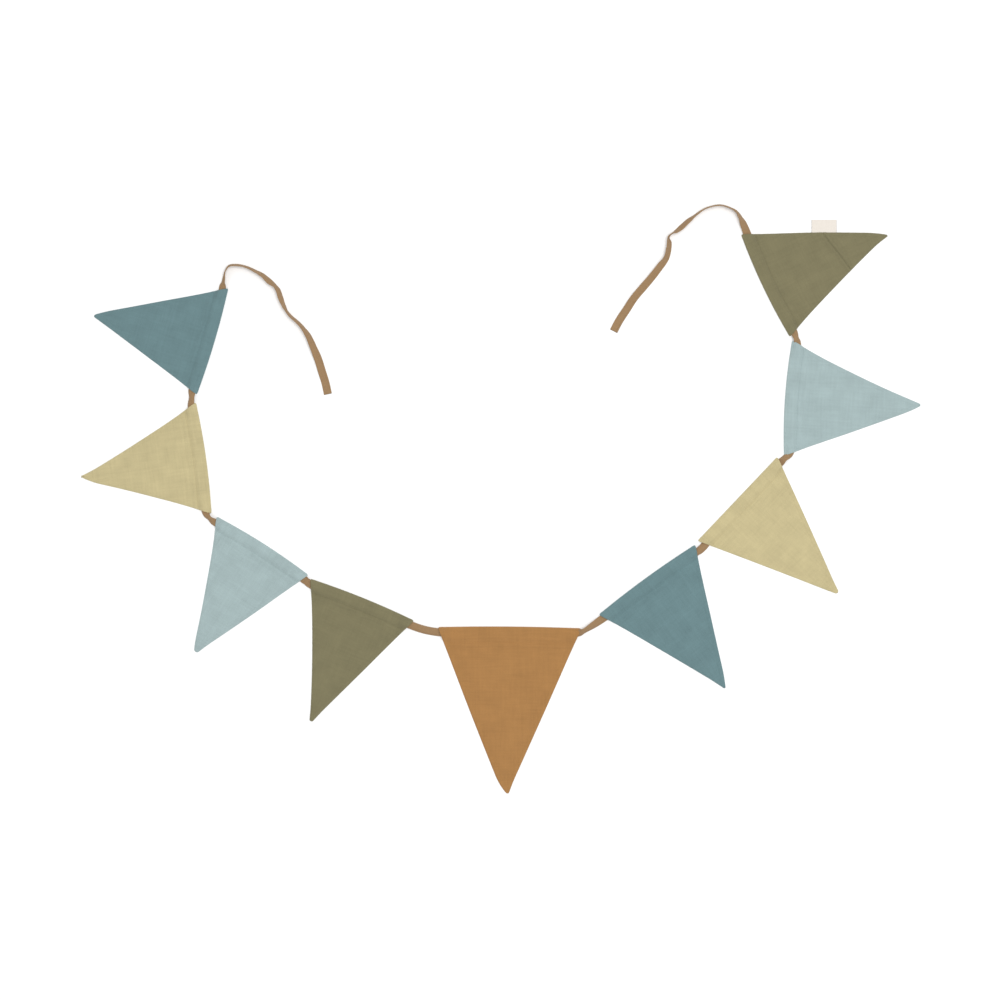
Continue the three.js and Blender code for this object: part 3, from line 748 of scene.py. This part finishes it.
def tape_bends():
    """Bends of the tape as x, y, roll, rise and curl, from tie to tie through all the channels.

    Inside a channel, curl and distance from the top edge run straight from those in its mouths to those
    further in, where the tape lies flat."""
    bends = [(*bend, RISE_OF_TIES, TIE_CURL) for bend in FIRST_TIE]
    entries = [FIRST_MOUTH, *((link.curl_entering, link.enters) for link in LINKS)]
    exits = [*((link.curl_leaving, link.leaves) for link in LINKS), LAST_MOUTH]
    inside = TAPE_FROM_TOP_EDGE
    for number, flag in enumerate(FLAGS):
        (entry_curl, enters), (exit_curl, leaves) = entries[number], exits[number]
        curls = np.interp(CHANNEL_STATIONS, CURLED_STATIONS, (entry_curl, 0, 0, exit_curl))
        depth = np.interp(CHANNEL_STATIONS, CURLED_STATIONS, (enters, inside, inside, leaves))
        in_channel = placed(flag, np.array(CHANNEL_STATIONS) * flag.width, depth, 0.0)
        bends += [(x, y, 0, RISE_IN_CHANNEL, curl) for (x, y, _), curl in zip(in_channel, curls)]
        if number < len(LINKS):
            link = LINKS[number]
            bends.append((link.x, link.y, link.roll, RISE_BETWEEN_FLAGS, link.curl))
    bends += [(*bend, RISE_OF_TIES, TIE_CURL) for bend in LAST_TIE]
    return np.array(bends, float)


def along_bends(bends, steps):
    """Points of a centripetal Catmull-Rom curve through the bends, with roll, rise and curl eased.

    Each span is the cubic between two bends whose end slopes come from the neighbours, with the knots
    spaced by the square root of the distances."""
    places = bends[:, :2]
    places = np.concatenate([2 * places[:1] - places[1:2], places, 2 * places[-1:] - places[-2:-1]])
    p0, p1, p2, p3 = (places[k:len(places) - 3 + k, None] for k in range(4))
    d0, d1, d2 = (np.sqrt(np.linalg.norm(b - a, axis=-1, keepdims=True))
                  for a, b in ((p0, p1), (p1, p2), (p2, p3)))
    slope1 = ((p1 - p0) / d0 - (p2 - p0) / (d0 + d1) + (p2 - p1) / d1) * d1
    slope2 = ((p2 - p1) / d1 - (p3 - p1) / (d1 + d2) + (p3 - p2) / d2) * d1
    t = np.linspace(0, 1, steps, endpoint=False)[None, :, None]
    bend2 = -3 * p1 + 3 * p2 - 2 * slope1 - slope2
    bend3 = 2 * p1 - 2 * p2 + slope1 + slope2
    curve = (p1 + slope1 * t + bend2 * t**2 + bend3 * t**3).reshape(-1, 2)
    turns = bends[:-1, None, 2:] + (bends[1:, None, 2:] - bends[:-1, None, 2:]) * t * t * (3 - 2 * t)
    return np.concatenate([np.hstack([curve, turns.reshape(-1, 3)]), bends[-1:]])


def tape_grid():
    """Face, back and thread of the strip carried along the bends, its length and its outward normals.

    Across its run the strip is an arc of the given curl, with rounded edges, pinched along its
    stitching. Its lowest point stands at the given rise."""
    bent = along_bends(tape_bends(), STEPS_BETWEEN_BENDS)
    at = np.concatenate([[0], np.cumsum(np.linalg.norm(np.diff(bent[:, :2], axis=0), axis=1))])
    run = np.linspace(0, at[-1], int(at[-1] / TAPE_STEP))
    x, y, roll, rise, curl = (np.interp(run, at, values) for values in bent.T)
    roll = np.radians(roll)[:, None]
    curl = np.radians(np.where(np.abs(curl) < LEAST_CURL, LEAST_CURL, curl))[:, None]
    heading = np.stack([np.gradient(x), np.gradient(y)], axis=-1)
    heading /= np.linalg.norm(heading, axis=-1, keepdims=True)
    left = np.stack([-heading[:, 1], heading[:, 0], 0 * x], axis=-1)
    up = np.array([0, 0, 1])
    across = (left * np.cos(roll) + up * np.sin(roll))[:, None]
    outwards = (up * np.cos(roll) - left * np.sin(roll))[:, None]

    rounding = TAPE_EDGE * (1 - np.cos(np.linspace(0, np.pi / 2, TAPE_EDGE_COLUMNS)))
    flat = np.linspace(TAPE_EDGE, TAPE_WIDTH - TAPE_EDGE, TAPE_FLAT_SPANS + 1)[1:-1]
    place = np.concatenate([rounding, flat, (TAPE_WIDTH - rounding)[::-1]])
    inset = np.minimum(place, TAPE_WIDTH - place)
    pinch = PINCH * np.exp(-(((place - TAPE_STITCH_INSET) / PINCH_WIDTH) ** 2))
    short, long = (np.sin(2 * np.pi * run / length) for length in PINCH_LENGTHS)
    varies = 1 + PINCH_VARIES * short * long
    half = TAPE_THICKNESS / 2 * (1 - pinch[None, :] * varies[:, None]) * rounded_edge(inset, TAPE_EDGE)
    half = half * (np.minimum(run, run[-1] - run) > 0)[:, None]

    angle = (2 * place / TAPE_WIDTH - 1)[None, :] * curl
    radius = TAPE_WIDTH / 2 / curl
    normal = np.sin(angle)[..., None] * across + np.cos(angle)[..., None] * outwards
    arc = radius[..., None] * normal - (radius * np.cos(curl))[..., None] * outwards
    face, back = arc + normal * half[..., None], arc - normal * half[..., None]
    lift = rise - np.minimum(face[..., 2], back[..., 2]).min(axis=1)
    middle = np.stack([x, y, lift], axis=-1)[:, None]
    thread = np.stack(np.broadcast_arrays(place[None, :], run[:, None]), axis=-1)
    return face + middle, back + middle, thread, run[-1], normal


tape_cotton = cotton("tape_cotton", TAPE_COLOUR, pitch=0.4, slubs=0.3, mottling=0.4, relief=0.1)
face, back, thread, tape_length, normal = tape_grid()
tape = cloth_mesh("tape_cloth", face, back, thread)
tape.data.materials.append(tape_cotton)
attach(tape, "root")
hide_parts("tape")

# The tape's thread is painted a little darker than the tape, as painted shade of its stitched groove.
tape_thread = thread_material("tape_thread", np.multiply(THREAD_TONES_WITH_GROOVE_SHADE["tape"], TAPE_COLOUR))
stitch_column = int(np.argmin(np.abs(thread[0, :, 0] - TAPE_STITCH_INSET)))
for side, grid, away in (("upper", face, normal), ("lower", back, -normal)):
    line, outwards = grid[1:-1, stitch_column], away[1:-1, stitch_column]
    stitching = stitches_mesh(f"tape_{side}_stitches", line, outwards)
    stitching.data.materials.append(tape_thread)
    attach(stitching, "root")


# Floor and light. A plain white surface, lit by a white surround and one large soft light overhead, a
# little to the right, so that the cloth throws almost no shadow.
FLOOR_SIZE = 40.0
FLOOR_COLOUR = (0.92, 0.92, 0.92)
SURROUND = 0.68
OVERHEAD_POWER = 135.0
OVERHEAD_SIZE = 2.6
OVERHEAD_PLACE = (0.7, 0.3, 4.5)

floor_mesh = bpy.data.meshes.new("floor")
corner = FLOOR_SIZE / 2
floor_corners = [(-corner, -corner, 0), (corner, -corner, 0), (corner, corner, 0), (-corner, corner, 0)]
floor_mesh.from_pydata(floor_corners, [], [(0, 1, 2, 3)])
floor = bpy.data.objects.new("floor", floor_mesh)
floor_material = bpy.data.materials.new("floor_white")
floor_material.use_nodes = True
floor_shader = floor_material.node_tree.nodes["Principled BSDF"]
floor_shader.inputs["Base Color"].default_value = (*FLOOR_COLOUR, 1)
floor_shader.inputs["Roughness"].default_value = 1.0
floor_shader.inputs["Specular IOR Level"].default_value = 0.0
floor_mesh.materials.append(floor_material)
scene.collection.objects.link(floor)

world = bpy.data.worlds.new("white_surround")
world.use_nodes = True
world.node_tree.nodes["Background"].inputs["Color"].default_value = (1, 1, 1, 1)
world.node_tree.nodes["Background"].inputs["Strength"].default_value = SURROUND
scene.world = world

overhead_data = bpy.data.lights.new("overhead", "AREA")
overhead_data.energy = OVERHEAD_POWER
overhead_data.size = OVERHEAD_SIZE
overhead = bpy.data.objects.new("overhead", overhead_data)
overhead.location = OVERHEAD_PLACE
scene.collection.objects.link(overhead)
scene.view_settings.view_transform = "Standard"
